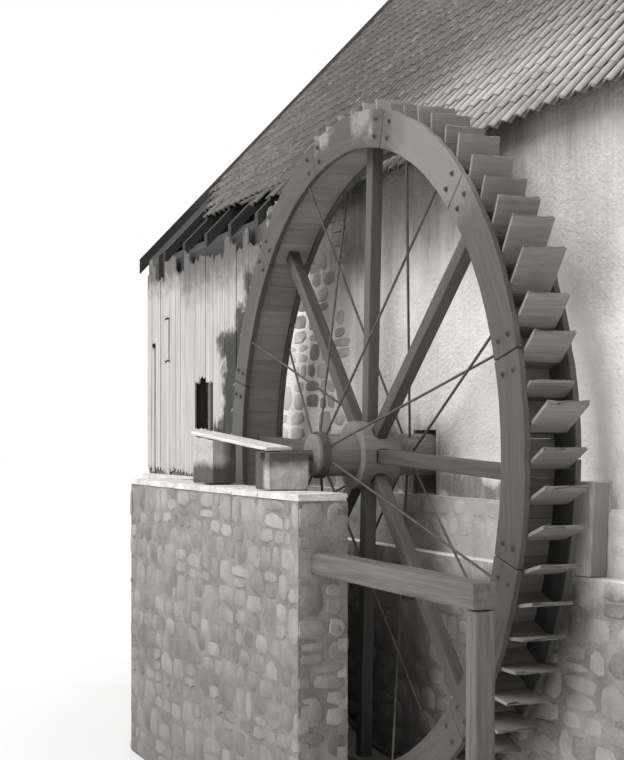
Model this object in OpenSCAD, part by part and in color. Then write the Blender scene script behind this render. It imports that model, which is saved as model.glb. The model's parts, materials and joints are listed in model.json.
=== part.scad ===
// Watermill: a long house with a steep tiled roof, and a narrow timber wheel turning beside its wall.
// X runs along the wheel side, towards the near end. Y runs into the house. Z is up from the pit floor.
// The origin lies on the pit floor, below the axle, in the outer face of the wheel-side wall.

/* [House] */
// Length of the house from the axle to the near gable's outer face
near_l = 4600; // [3800:100:7000]
// Length of the house from the axle to the far gable's outer face
far_l = 8800; // [7800:100:11000]
// Width of the house between the outer faces of its long walls
house_w = 9200; // [8000:100:10500]
// Thickness of the masonry walls above the plinth
wall_t = 500; // [400:10:650]
// Height of the rough masonry plinth above the pit floor
plinth_h = 2990; // [2890:10:3300]
// How far the plinth stands proud of the walls
plinth_out = 80; // [40:10:100]
// Depth of the ledge's top below the plinth's top, on the wheel side
ledge_drop = 480; // [350:10:700]
// How far the ledge stands proud of the plinth
ledge_out = 150; // [80:10:160]
// Height of the long walls above the plinth
wall_h = 2810; // [2600:10:3000]
// Thickness of the ground floor slab
floor_t = 150; // [100:10:250]
// Distance from the axle to where the boarded stretch of the wheel-side wall begins
boards_from = 3950; // [3700:50:5000]
// Thickness of the boarded stretch of wall, with its boards and studs
board_wall_t = 160; // [120:10:240]

/* [Roof] */
// Pitch of both slopes, in degrees
roof_pitch = 46.7; // [44:0.1:50]
// Height of the roof's top face above the wall's top, over the wheel-side wall's outer face
roof_rise = 465; // [440:5:600]
// Clearance between the wheel's back and the tiles' lower edge
eave_gap = 60; // [30:5:120]
// Overhang of the slopes beyond the gables
verge_out = 200; // [120:10:300]
// Thickness of the tiles with their battens, square to the slope
tiles_t = 90; // [70:5:140]
// Depth of a rafter, square to the slope
rafter_d = 120; // [100:5:140]
// Width of a rafter
rafter_w = 110; // [80:5:150]
// Number of rafters to each slope
rafter_n = 14; // [10:1:18]
// Distance of the rafters' feet and the wall plates from the outer faces of the long walls
rafter_in = 60; // [30:5:120]
// Clearance between slopes that bear on each other
seat_gap = 0.3; // [0.2:0.1:0.8]
// Distance from the axle to the near end of the stretch where the lowest tiles are lost
lost_from = 3300; // [3000:50:4500]
// Height of the lost tiles at the near end of that stretch, along the slope
lost_near_h = 620; // [400:10:800]
// Height of the lost tiles near the far corner, along the slope
lost_far_h = 960; // [820:10:1200]
// Height of the lost tiles at the far verge, along the slope
lost_verge_h = 1815; // [1500:10:2400]
// Distance from the far verge over which the loss drops to its lesser height
lost_step = 1600; // [800:10:2400]
// Length of the far bargeboard's foot that is lost, along the slope
lost_barge = 250; // [50:10:500]
// Outer radius of the ridge tiles
ridge_r = 150; // [130:5:180]
// Depth of the ridge tiles' centre below the slopes' meeting line
ridge_sink = 75; // [60:5:90]
// Thickness of the ridge tiles
ridge_tile_t = 22; // [18:1:30]
// Depth of the ridge beam
ridge_beam_d = 280; // [220:10:320]
// Width of the ridge beam
ridge_beam_w = 160; // [120:10:200]
// Width of a wall plate
plate_w = 150; // [120:10:200]
// Depth of the bargeboards below the tiles' underside
barge_d = 90; // [60:5:150]
// Thickness of the bargeboards
barge_t = 35; // [25:1:50]

/* [Back door] */
// Width of the doorway in the back wall
door_w = 1200; // [1000:10:1400]
// Height of the doorway above the floor slab
door_h = 2050; // [1900:10:2200]
// Thickness of the plank door
door_t = 50; // [35:1:70]
// Thickness of the door frame's timbers
frame_t = 90; // [60:5:120]
// Height of the stone lintels
lintel_h = 220; // [160:10:280]
// Bearing of a lintel on the wall at each end
lintel_seat = 200; // [150:10:250]

/* [Wheel] */
// Height of the axle above the plinth's top
axle_rise = 360; // [320:5:450]
// Outer radius of the shrouds
shroud_r = 2980; // [2800:10:3050]
// Depth of the shrouds, from their outer edge inwards
shroud_d = 330; // [280:5:400]
// Thickness of each shroud
shroud_t = 50; // [40:1:70]
// Width of the wheel over its shrouds
wheel_w = 460; // [420:10:520]
// Gap between the wheel and the face of the wheel-side wall
wheel_gap = 320; // [280:10:400]
// Height of the sole above the shrouds' inner edges
sole_rise = 40; // [20:5:80]
// Thickness of the sole boards, which close the buckets' bottoms
sole_t = 28; // [22:1:40]
// Number of buckets
bucket_n = 72; // [56:8:80]
// Turn of the buckets at rest from level, in degrees
bucket_turn = -1.4; // [-2.4:0.1:2.4]
// Thickness of the bucket boards
bucket_t = 24; // [18:1:32]
// Distance of the buckets' elbows from the shrouds' outer edges
elbow_in = 90; // [60:5:140]
// Reach of the bucket lips beyond the shrouds
lip_out = 200; // [150:5:240]
// How far a bucket's lip leans ahead of its bottom board
lip_lead = 170; // [120:5:200]
// Number of arms
arm_n = 8; // [6:2:10]
// Turn of the arms at rest from level, in degrees
arm_turn = -2.5; // [-10:0.5:10]
// Width of an arm in the plane of the wheel
arm_w = 120; // [90:5:150]
// Thickness of an arm along the axle
arm_t = 110; // [80:5:140]
// Diameter of the iron stay rods
rod_dia = 22; // [16:1:30]
// Distance of the rods' feet from the ends of the axle and from the boss
rod_foot = 120; // [80:10:150]

/* [Axle] */
// Radius of the timber axle
axle_r = 190; // [160:5:210]
// Radius of the boss in which the arms are set
boss_r = 300; // [270:5:340]
// Length of the boss
boss_l = 360; // [280:10:420]
// Depth of the mortises in which the arms stand
mortise_d = 60; // [40:5:90]
// Radius of the iron gudgeons
gudgeon_r = 45; // [35:1:60]
// Length of each gudgeon beyond the axle's end
gudgeon_l = 270; // [240:10:280]
// Length of the axle in front of the wheel, towards the pit wall
axle_front = 330; // [250:10:350]
// Length of the axle inside the opening in the wall
axle_back = 220; // [150:10:230]
// Thickness of the iron hoops round the axle
hoop_t = 14; // [8:1:20]
// Width of the iron hoops
hoop_w = 70; // [50:5:90]
// Radial clearance of the gudgeons in their bearings
bearing_gap = 0.08; // [0.05:0.01:0.1]

/* [Axle opening] */
// Gap round the axle in the opening through which it enters the house
opening_gap = 30; // [20:5:60]

/* [Pit walls] */
// Thickness of the pit walls
pit_wall_t = 450; // [380:10:550]
// Gap between the wheel and the inner face of the pit wall
pit_gap = 380; // [300:10:500]
// How far the pit wall runs past the axle towards the near end
pit_near = 900; // [700:10:1200]
// Distance from the axle to the inner face of the pit's end wall
pit_far = 3600; // [3400:10:3900]
// Thickness of the coping on the pit walls
coping_t = 60; // [40:5:90]
// Width of the bearing blocks along the wall
block_w = 340; // [300:10:400]
// Distance of the bearing blocks from the faces of the pit wall, and from the axle's end
block_in = 40; // [20:5:60]
// Height of the bearing blocks' cheeks above the axle's centre
cheek_h = 30; // [20:5:40]
// Distance from the axle to the far end of the plank that lies from the outer bearing to its prop
plank_far = 2150; // [1800:10:2600]
// Distance from the axle to the near end of that plank
plank_near = 60; // [52:1:90]
// Thickness of the plank
plank_t = 40; // [30:1:50]
// Width of the plank
plank_w = 250; // [200:10:300]
// Rise of the plank towards its far end, in degrees
plank_tilt = 4.1; // [2:0.1:6]
// Length of the prop along the wall
prop_l = 600; // [400:10:800]
// Distance of the prop from the plank's far end
prop_in = 50; // [20:5:100]
// Depth of the near pit beam's top below the plinth's top
beam_drop = 410; // [300:10:600]
// Depth of the near pit beam
beam_d = 180; // [140:10:220]
// Width of the near pit beam
beam_w = 200; // [160:10:260]
// Depth of the pocket in the pit wall that holds the beam's end
beam_seat = 150; // [100:10:250]
// Distance from the axle to the near end of that beam, over its post
beam_end = 3500; // [3000:50:4200]
// Side of the post that carries the beam's near end
post_w = 150; // [110:5:180]
// Distance from the near gable's outer face to the middle of the foot of the post that stands on the ledge
stump_in = 1800; // [1400:10:2000]
// Width of that post along the wall
stump_w = 280; // [200:10:320]
// Height of that post's top above the plinth's top
stump_rise = 200; // [100:10:300]
// How far that post's top leans towards the near end
stump_lean = 60; // [20:10:100]

/* [Hidden] */

wall_top = plinth_h + wall_h;
roof_z = wall_top + roof_rise;
hub_z = plinth_h + axle_rise;
ledge_z = plinth_h - ledge_drop;
beam_z = plinth_h - beam_drop;
pit_top = plinth_h + coping_t;
slope = tan(roof_pitch);
tiles_drop = tiles_t / cos(roof_pitch);
rafter_drop = rafter_d / cos(roof_pitch);
ridge_y = house_w / 2;
ridge_z = roof_z + ridge_y * slope;
wall_len = far_l + near_l;
inner_x0 = -far_l + wall_t;
inner_x1 = near_l - wall_t;
inner_len = inner_x1 - inner_x0;
eave_out = wheel_gap - eave_gap;

wheel_back = -wheel_gap;
wheel_mid = wheel_back - wheel_w / 2;
wheel_front = wheel_back - wheel_w;
shroud_in = shroud_r - shroud_d;
sole_in = shroud_in + sole_rise;
tip_r = shroud_r + lip_out;
elbow_r = shroud_r - elbow_in;
pit_inner = wheel_front - pit_gap;
pit_outer = pit_inner - pit_wall_t;
axle_y0 = wheel_front - axle_front;
opening_w = 2 * (axle_r + opening_gap);
opening_h = axle_rise + axle_r + opening_gap;
seat_r = gudgeon_r + bearing_gap;
arm_foot = boss_r - mortise_d;
arm_end = sqrt(sole_in * sole_in - arm_w * arm_w / 4);
beam_y = pit_outer + (pit_wall_t - beam_w) / 2;
stump_x = near_l - stump_in;

// Height of the roof's top face at a distance in from the wheel-side wall
function top_z(y) = roof_z + y * slope;

// Height at which the masonry and the rafters stop under the tiles
function under_z(y) = top_z(y) - tiles_drop - seat_gap;

// Turns a shape drawn in Y and Z, extruded, so that it runs along X from x0
module along_x(x0, length)
    translate([x0, 0, 0]) rotate([90, 0, 90]) linear_extrude(length) children();

// Turns a shape drawn in X and Z, extruded, so that it runs along Y from y0 backwards
module along_y(y0, length)
    translate([0, y0 + length, 0]) rotate([90, 0, 0]) linear_extrude(length) children();

// Repeats a piece of the wheel-side slope on the back slope
module on_back() translate([0, house_w, 0]) mirror([0, 1, 0]) children();

// Ring about the axle, from y0 and w thick
module ring(outer, inner, y0, w)
    along_y(y0, w) translate([0, hub_z]) difference() {
        circle(outer, $fn = 180);
        circle(inner, $fn = 180);
    }

// Round bar about the axle
module bar(r, y0, length) along_y(y0, length) translate([0, hub_z]) circle(r, $fn = 64);

module plinth_wheel_side() color("dimgray")
    translate([-far_l - plinth_out, -plinth_out, 0])
        cube([wall_len + 2 * plinth_out, wall_t + plinth_out, plinth_h]);

// Ledge along the foot of the plinth, from the pit's end wall to the near end
module plinth_ledge() color("gray")
    translate([-pit_far, -plinth_out - ledge_out, 0])
        cube([pit_far + near_l + plinth_out, ledge_out, ledge_z]);

module plinth_back() color("dimgray")
    difference() {
        translate([-far_l - plinth_out, house_w - wall_t, 0])
            cube([wall_len + 2 * plinth_out, wall_t + plinth_out, plinth_h]);
        translate([-door_w / 2, house_w - wall_t - 1, floor_t]) cube([door_w, wall_t + plinth_out + 2, door_h]);
        translate([-door_w / 2 - lintel_seat, house_w - wall_t - 1, floor_t + door_h])
            cube([door_w + 2 * lintel_seat, wall_t + plinth_out + 2, lintel_h]);
    }

module plinth_near() color("dimgray")
    translate([inner_x1, wall_t, 0]) cube([wall_t + plinth_out, house_w - 2 * wall_t, plinth_h]);

module plinth_far() color("dimgray")
    translate([-far_l - plinth_out, wall_t, 0]) cube([wall_t + plinth_out, house_w - 2 * wall_t, plinth_h]);

module ground_floor() color("gray")
    translate([inner_x0, wall_t, 0]) cube([inner_len, house_w - 2 * wall_t, floor_t]);

// Masonry carried up from a long wall's top to the tiles, in front of the plate and the rafters' feet
module eave_fill(x0, x1)
    along_x(x0, x1 - x0) polygon([
        [0, wall_top - 1], [rafter_in - seat_gap, wall_top - 1],
        [rafter_in - seat_gap, under_z(rafter_in - seat_gap)], [0, under_z(0)]
    ]);

module wheel_wall() color("gainsboro") {
    eave_fill(-boards_from, inner_x1);
    difference() {
        translate([-boards_from, 0, plinth_h]) cube([boards_from + inner_x1, wall_t, wall_top - plinth_h]);
        translate([-opening_w / 2, -1, plinth_h - 1]) cube([opening_w, wall_t + 2, opening_h + 1]);
        translate([-opening_w / 2 - lintel_seat, -1, plinth_h + opening_h])
            cube([opening_w + 2 * lintel_seat, wall_t + 2, lintel_h]);
    }
}

module opening_lintel() color("saddlebrown")
    translate([-opening_w / 2 - lintel_seat, 0, plinth_h + opening_h])
        cube([opening_w + 2 * lintel_seat, wall_t, lintel_h]);

module boarded_wall() color("gainsboro")
    translate([-far_l, 0, plinth_h]) cube([far_l - boards_from, board_wall_t, wall_top - plinth_h]);

module back_wall() color("gainsboro") {
    on_back() eave_fill(inner_x0, inner_x1);
    translate([inner_x0, house_w - wall_t, plinth_h]) cube([inner_len, wall_t, wall_top - plinth_h]);
}

module gable(x0) color("gainsboro")
    along_x(x0, wall_t) polygon([
        [0, plinth_h], [house_w, plinth_h], [house_w, under_z(0)], [ridge_y, under_z(ridge_y)], [0, under_z(0)]
    ]);

module near_gable() gable(inner_x1);

// The boarded wall runs past the gable's corner, below the wall's top
module far_gable()
    difference() {
        gable(-far_l);
        translate([-far_l - 1, -1, plinth_h - 1]) cube([wall_t + 2, board_wall_t + 1, wall_top - plinth_h + 1]);
    }

module door_lintel() color("silver")
    translate([-door_w / 2 - lintel_seat, house_w - wall_t, floor_t + door_h])
        cube([door_w + 2 * lintel_seat, wall_t + plinth_out, lintel_h]);

module door_frame() color("saddlebrown")
    translate([-door_w / 2, house_w - wall_t / 2, floor_t]) difference() {
        cube([door_w, frame_t, door_h]);
        translate([frame_t, -1, -1]) cube([door_w - 2 * frame_t, frame_t + 2, door_h - frame_t + 1]);
    }

module back_door() color("sienna")
    translate([-door_w / 2 + frame_t, house_w - wall_t / 2, floor_t])
        cube([door_w - 2 * frame_t, door_t, door_h - frame_t]);

// Plate with its top cut to the rafters' underside
module wall_plate(y0) color("saddlebrown")
    along_x(inner_x0, inner_len) polygon([
        [y0, wall_top], [y0 + plate_w, wall_top],
        [y0 + plate_w, under_z(y0 + plate_w) - rafter_drop - seat_gap], [y0, under_z(y0) - rafter_drop - seat_gap]
    ]);

module wall_plates() {
    wall_plate(rafter_in);
    on_back() wall_plate(rafter_in);
}

module ridge_beam() color("saddlebrown")
    translate([inner_x0, ridge_y - ridge_beam_w / 2, under_z(ridge_y - ridge_beam_w / 2) - ridge_beam_d])
        cube([inner_len, ridge_beam_w, ridge_beam_d]);

module rafter(y0) color("saddlebrown")
    let (y1 = ridge_y - ridge_beam_w / 2) along_x(0, rafter_w) polygon([
        [y0, under_z(y0) - rafter_drop], [y1, under_z(y1) - rafter_drop], [y1, under_z(y1)], [y0, under_z(y0)]
    ]);

module rafter_row()
    for (i = [0:rafter_n - 1])
        translate([inner_x0 + i * (inner_len - rafter_w) / (rafter_n - 1), 0, 0]) rafter(rafter_in);

module rafters_front() rafter_row();

module rafters_back() on_back() rafter_row();

module roof_slab() color("dimgray")
    along_x(-far_l - verge_out + barge_t, wall_len + 2 * verge_out - 2 * barge_t) polygon([
        [-eave_out, top_z(-eave_out)], [ridge_y, ridge_z],
        [ridge_y, ridge_z - tiles_drop], [-eave_out, top_z(-eave_out) - tiles_drop]
    ]);

// Distance in from the wheel-side wall of a point on the slope, measured up from the eave
function up_slope(reach) = reach * cos(roof_pitch) - eave_out;

module roof_front()
    difference() {
        roof_slab();
        linear_extrude(ridge_z) polygon([
            [-lost_from, -eave_out - 1], [-lost_from, up_slope(lost_near_h)],
            [-far_l - verge_out + lost_step, up_slope(lost_far_h)],
            [-far_l - verge_out - 1, up_slope(lost_verge_h)], [-far_l - verge_out - 1, -eave_out - 1]
        ]);
    }

module roof_back() on_back() roof_slab();

module ridge_tiles() color("gray")
    along_x(-far_l - verge_out, wall_len + 2 * verge_out) difference() {
        translate([ridge_y, ridge_z - ridge_sink]) circle(ridge_r, $fn = 48);
        translate([ridge_y, ridge_z - ridge_sink]) circle(ridge_r - ridge_tile_t, $fn = 48);
        polygon([
            [ridge_y, ridge_z + seat_gap],
            [ridge_y + 2 * ridge_r, ridge_z + seat_gap - 2 * ridge_r * slope],
            [ridge_y - 2 * ridge_r, ridge_z + seat_gap - 2 * ridge_r * slope]
        ]);
    }

// Pair of boards that close the ends of the tiles' courses, with the wheel-side foot at y0
module bargeboards(x0, y0) color("dimgray")
    along_x(x0, barge_t) polygon([
        [y0, top_z(y0)], [ridge_y, ridge_z], [house_w + eave_out, top_z(-eave_out)],
        [house_w + eave_out, top_z(-eave_out) - tiles_drop - barge_d],
        [ridge_y, ridge_z - tiles_drop - barge_d],
        [y0, top_z(y0) - tiles_drop - barge_d]
    ]);

module bargeboards_near() bargeboards(near_l + verge_out - barge_t, -eave_out);

module bargeboards_far() bargeboards(-far_l - verge_out, up_slope(lost_barge));

module pit_wall() color("gray")
    difference() {
        translate([-pit_far - pit_wall_t, pit_outer, 0])
            cube([pit_far + pit_wall_t + pit_near, pit_wall_t, plinth_h]);
        translate([pit_near - beam_seat, beam_y, beam_z - beam_d]) cube([beam_seat + 1, beam_w, beam_d]);
    }

module pit_end_wall() color("gray")
    translate([-pit_far - pit_wall_t, pit_inner, 0])
        cube([pit_wall_t, -plinth_out - pit_inner, plinth_h]);

module pit_coping() color("lightgray")
    translate([-pit_far - pit_wall_t, pit_outer, plinth_h])
        cube([pit_far + pit_wall_t + pit_near, pit_wall_t, coping_t]);

module pit_end_coping() color("lightgray")
    translate([-pit_far - pit_wall_t, pit_inner, plinth_h])
        cube([pit_wall_t, -plinth_out - pit_inner, coping_t]);

module pit_beam() color("saddlebrown")
    translate([pit_near - beam_seat, beam_y, beam_z - beam_d])
        cube([beam_end - pit_near + beam_seat, beam_w, beam_d]);

// Post under the beam's near end
module guard_post() color("saddlebrown")
    translate([beam_end - post_w, pit_outer + (pit_wall_t - post_w) / 2, 0])
        cube([post_w, post_w, beam_z - beam_d]);

// Leaning stump of a post that stands on the ledge, between the wheel and the plinth
module wall_post() color("saddlebrown")
    along_y(-plinth_out - ledge_out, ledge_out) polygon([
        [stump_x - stump_w / 2, ledge_z], [stump_x + stump_w / 2, ledge_z],
        [stump_x + stump_w / 2 + stump_lean, plinth_h + stump_rise],
        [stump_x - stump_w / 2 + stump_lean, plinth_h + stump_rise]
    ]);

// Height of the plank's underside, just over the far cheek that carries it
function plank_foot(x) = hub_z + cheek_h - (x + seat_r) * tan(plank_tilt);

// Block with a round seat for a gudgeon, which is lowered into it between two cheeks
module bearing(y0, length, foot)
    along_y(y0, length) difference() {
        polygon([
            [-block_w / 2, foot], [block_w / 2, foot], [block_w / 2, hub_z + cheek_h],
            [-seat_r, hub_z + cheek_h - seat_gap], [-block_w / 2, plank_foot(-block_w / 2) - seat_gap]
        ]);
        translate([0, hub_z]) circle(seat_r, $fn = 64);
        translate([-seat_r, hub_z]) square([2 * seat_r, 2 * cheek_h]);
    }

module outer_bearing() color("lightgray") bearing(pit_outer + block_in, pit_wall_t - 2 * block_in, pit_top);

module inner_bearing() color("saddlebrown") bearing(axle_back + block_in, wall_t - axle_back - block_in, plinth_h);

// Sloping plank over the pit wall, on the outer bearing's far cheek and on its prop
module bearing_plank() color("gainsboro")
    along_y(pit_outer + (pit_wall_t - plank_w) / 2, plank_w) polygon([
        [-plank_far, plank_foot(-plank_far)], [-plank_near, plank_foot(-plank_near)],
        [-plank_near, plank_foot(-plank_near) + plank_t], [-plank_far, plank_foot(-plank_far) + plank_t]
    ]);

// Stone under the plank's far end, with its top cut to the plank
module prop_block() color("lightgray")
    let (x0 = prop_in - plank_far, x1 = x0 + prop_l)
        along_y(pit_outer + (pit_wall_t - plank_w) / 2, plank_w) polygon([
            [x0, pit_top], [x1, pit_top], [x1, plank_foot(x1) - seat_gap], [x0, plank_foot(x0) - seat_gap]
        ]);

module axle() color("saddlebrown") bar(axle_r, axle_y0, axle_back - axle_y0);

module axle_hoops() color("dimgray")
    for (y = [axle_y0 + hoop_w / 2, axle_back - 1.5 * hoop_w]) ring(axle_r + hoop_t, axle_r, y, hoop_w);

module gudgeons() color("dimgray") {
    bar(gudgeon_r, axle_y0 - gudgeon_l, gudgeon_l);
    bar(gudgeon_r, axle_back, gudgeon_l);
}

// Turns a piece that lies along X, about the axle, to the place of spoke i
module spoke(i) translate([0, 0, hub_z]) rotate([0, -arm_turn - i * 360 / arm_n, 0]) children();

// Timber along X in the middle plane of the wheel
module arm(x0, x1) translate([x0, wheel_mid - arm_t / 2, -arm_w / 2]) cube([x1 - x0, arm_t, arm_w]);

module hub_boss() color("saddlebrown")
    difference() {
        ring(boss_r, axle_r, wheel_mid - boss_l / 2, boss_l);
        for (i = [0:arm_n - 1]) spoke(i) arm(arm_foot, boss_r + 1);
    }

module arms() color("saddlebrown")
    for (i = [0:arm_n - 1]) spoke(i) arm(arm_foot, arm_end);

// Rod from the axle at y0 to the inner edge of a shroud at y1, beside its crossing partner
module rod(y0, y1, side)
    let (dx = shroud_in - axle_r, dy = y1 - y0, reach = sqrt(dx * dx + dy * dy))
        translate([axle_r, y0, side * rod_dia]) rotate([0, 90, atan2(dy, dx)])
            translate([0, 0, -rod_dia]) cylinder(h = reach + 2 * rod_dia, d = rod_dia, $fn = 16);

// The rods' ends are cut to the axle and to the shrouds' inner edges
module stay_rods() color("dimgray")
    intersection() {
        ring(shroud_in, axle_r, axle_y0, axle_back - axle_y0);
        for (i = [0:arm_n - 1]) spoke(i + 0.5) {
            rod(axle_y0 + rod_foot, wheel_back - shroud_t / 2, 1);
            rod(wheel_back + rod_foot, wheel_front + shroud_t / 2, -1);
        }
    }

module front_shroud() color("dimgray") ring(shroud_r, shroud_in, wheel_front, shroud_t);

module back_shroud() color("dimgray") ring(shroud_r, shroud_in, wheel_back - shroud_t, shroud_t);

module sole() color("saddlebrown") ring(sole_in + sole_t, sole_in, wheel_front + shroud_t, wheel_w - 2 * shroud_t);

// Outline of one bucket's boards: a bottom board that stands on the sole, and a leaning front board
module bucket_outline() polygon([
    [sole_in + sole_t, 0], [elbow_r, 0], [tip_r, lip_lead],
    [tip_r - bucket_t, lip_lead + bucket_t], [elbow_r - bucket_t / 2, bucket_t], [sole_in + sole_t, bucket_t]
]);

module buckets() color("saddlebrown")
    for (i = [0:bucket_n - 1]) translate([0, wheel_back - shroud_t, hub_z]) rotate([90, -bucket_turn - i * 360 / bucket_n, 0])
        linear_extrude(wheel_w - 2 * shroud_t) bucket_outline();

plinth_wheel_side();
plinth_ledge();
plinth_back();
plinth_near();
plinth_far();
ground_floor();
wheel_wall();
boarded_wall();
back_wall();
near_gable();
far_gable();
opening_lintel();
door_lintel();
door_frame();
back_door();
wall_plates();
ridge_beam();
rafters_front();
rafters_back();
roof_front();
roof_back();
ridge_tiles();
bargeboards_near();
bargeboards_far();
pit_wall();
pit_end_wall();
pit_coping();
pit_end_coping();
pit_beam();
guard_post();
wall_post();
outer_bearing();
bearing_plank();
prop_block();
inner_bearing();
axle();
axle_hoops();
gudgeons();
hub_boss();
arms();
stay_rods();
front_shroud();
back_shroud();
sole();
buckets();
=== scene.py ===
"""Watermill: a long whitewashed house with a steep pantiled roof, and a narrow timber bucket wheel."""
import json
import math
import random

import bpy
import numpy as np
from mathutils import Matrix, Vector, noise

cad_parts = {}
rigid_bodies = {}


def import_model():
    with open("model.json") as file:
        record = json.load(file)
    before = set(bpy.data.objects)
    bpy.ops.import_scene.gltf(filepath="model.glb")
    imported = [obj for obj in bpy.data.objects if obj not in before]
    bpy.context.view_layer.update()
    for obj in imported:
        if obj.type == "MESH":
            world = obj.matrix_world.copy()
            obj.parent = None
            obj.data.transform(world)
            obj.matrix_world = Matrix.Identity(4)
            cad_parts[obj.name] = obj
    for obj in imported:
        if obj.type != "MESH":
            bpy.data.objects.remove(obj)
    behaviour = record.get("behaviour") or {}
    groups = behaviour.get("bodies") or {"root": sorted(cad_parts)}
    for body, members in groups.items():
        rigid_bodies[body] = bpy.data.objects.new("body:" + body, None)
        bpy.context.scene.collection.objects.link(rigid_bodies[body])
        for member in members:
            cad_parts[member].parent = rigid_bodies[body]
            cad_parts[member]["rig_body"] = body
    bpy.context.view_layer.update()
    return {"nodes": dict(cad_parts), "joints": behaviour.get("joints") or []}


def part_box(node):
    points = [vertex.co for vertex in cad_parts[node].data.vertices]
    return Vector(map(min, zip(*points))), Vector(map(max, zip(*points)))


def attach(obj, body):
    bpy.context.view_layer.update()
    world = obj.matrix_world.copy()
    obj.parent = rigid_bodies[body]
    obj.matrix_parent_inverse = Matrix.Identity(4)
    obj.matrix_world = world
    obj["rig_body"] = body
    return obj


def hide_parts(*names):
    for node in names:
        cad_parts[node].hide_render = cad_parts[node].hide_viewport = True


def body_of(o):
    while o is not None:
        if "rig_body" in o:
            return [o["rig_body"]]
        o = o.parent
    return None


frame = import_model()
nodes = frame["nodes"]
scene = bpy.context.scene

# Camera
# It stands in front of the wheel's side, past the near end, a little above the height of the axle,
# and looks level along the wall with its picture shifted up.
FOCAL_PX = 1400
LONG_SIDE_PX = 760
HORIZON_BELOW_MIDDLE_PX = 60
TURNED_FROM_WALL = math.radians(67.1)
lens = bpy.data.cameras.new("camera")
lens.sensor_width = 36
lens.lens = lens.sensor_width * FOCAL_PX / LONG_SIDE_PX
lens.shift_y = HORIZON_BELOW_MIDDLE_PX / LONG_SIDE_PX
camera = bpy.data.objects.new("camera", lens)
scene.collection.objects.link(camera)
camera.location = (11.22, -5.84, 3.48)
camera.rotation_euler = (math.radians(90), 0, TURNED_FROM_WALL)
scene.camera = camera


# Rubble masonry of the plinth, the ledge and the ground floor
# Field stones laid in rough courses in lime mortar, under old lime wash, and dark with damp by the
# pit. The walls' solids are the mortar's face, and the stones stand a little proud of it.
def put(tree, kind, sockets=None, **settings):
    """Adds a shader node, and links or sets its sockets by name or number."""
    made = tree.nodes.new("ShaderNode" + kind)
    for key, value in settings.items():
        setattr(made, key, value)
    for key, value in (sockets or {}).items():
        if isinstance(value, bpy.types.NodeSocket):
            tree.links.new(value, made.inputs[key])
        else:
            made.inputs[key].default_value = value
    return made


def effect(name, inputs, output):
    """Starts a shader node group with the given inputs and one output value."""
    group = bpy.data.node_groups.new(name, "ShaderNodeTree")
    for key, (kind, value) in inputs.items():
        socket = group.interface.new_socket(key, in_out="INPUT", socket_type="NodeSocket" + kind)
        if value is not None:
            socket.default_value = value
    group.interface.new_socket(output, in_out="OUTPUT", socket_type="NodeSocketFloat")
    return group, group.nodes.new("NodeGroupInput").outputs, group.nodes.new("NodeGroupOutput").inputs[0]


def combine(tree, operation, *terms, clamp=True):
    """Joins numbers with a Math node, held between 0 and 1 unless told otherwise."""
    return put(tree, "Math", dict(enumerate(terms)), operation=operation, use_clamp=clamp).outputs[0]


def times(tree, mask, *factors):
    """Multiplies masks and strengths."""
    for factor in factors:
        mask = combine(tree, "MULTIPLY", mask, factor)
    return mask


def ramp(tree, value, low, high, first=0.0, last=1.0):
    """Turns a value that runs from low to high into one that runs from first to last."""
    return put(tree, "MapRange", {0: value, 1: low, 2: high, 3: first, 4: last}).outputs[0]


def clouds(tree, where, scale, detail, roughness):
    """Cloudy noise, as a value in its first output and as a colour."""
    sockets = {"Vector": where, "Scale": scale, "Detail": detail, "Roughness": roughness}
    return put(tree, "TexNoise", sockets).outputs


def steer(tree, operation, vector, other):
    """Works on a vector with another one, or with a number where it is scaled."""
    key = "Scale" if operation == "SCALE" else 1
    return put(tree, "VectorMath", {0: vector, key: other}, operation=operation).outputs[0]


# Mottle: uneven tone, broad clouds and fine grit in one value from 0 to 1
GRIT_SHARE = 0.35
mottle, ins, out = effect(
    "mottle", {"Vector": ("Vector", None), "Broad": ("Float", 2.0), "Fine": ("Float", 30.0)}, "Tone"
)
broad = ramp(mottle, clouds(mottle, ins["Vector"], ins["Broad"], 5.0, 0.6)[0], 0.3, 0.7)
grit = ramp(mottle, clouds(mottle, ins["Vector"], ins["Fine"], 4.0, 0.7)[0], 0.3, 0.7)
mottle.links.new(put(mottle, "Mix", {0: GRIT_SHARE, 2: broad, 3: grit}).outputs[0], out)

# Patch: where a stain, a growth, a lime wash, painted shade or painted light lies, a soft box with a
# wandering edge
WANDER_GAIN = 4.0
patch, ins, out = effect(
    "patch",
    {
        "Vector": ("Vector", None), "From": ("Vector", (0, 0, 0)), "To": ("Vector", (1, 1, 1)),
        "Soft": ("Float", 0.2), "Wander": ("Float", 0.3), "Scale": ("Float", 2.0),
    },
    "Mask",
)
centred = steer(
    patch, "SUBTRACT", clouds(patch, ins["Vector"], ins["Scale"], 5.0, 0.6)["Color"], (0.5, 0.5, 0.5)
)
reach = combine(patch, "MULTIPLY", ins["Wander"], WANDER_GAIN, clamp=False)
place = steer(patch, "ADD", ins["Vector"], steer(patch, "SCALE", centred, reach))
steepness = combine(patch, "DIVIDE", 1.0, ins["Soft"], clamp=False)
sides = []
for high, low in ((place, ins["From"]), (ins["To"], place)):
    inside = steer(patch, "SCALE", steer(patch, "SUBTRACT", high, low), steepness)
    sides.append(steer(patch, "MINIMUM", steer(patch, "MAXIMUM", inside, (0, 0, 0)), (1, 1, 1)))
axes = put(patch, "SeparateXYZ", {0: steer(patch, "MULTIPLY", *sides)}).outputs
patch.links.new(times(patch, axes[0], axes[1], axes[2]), out)


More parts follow.
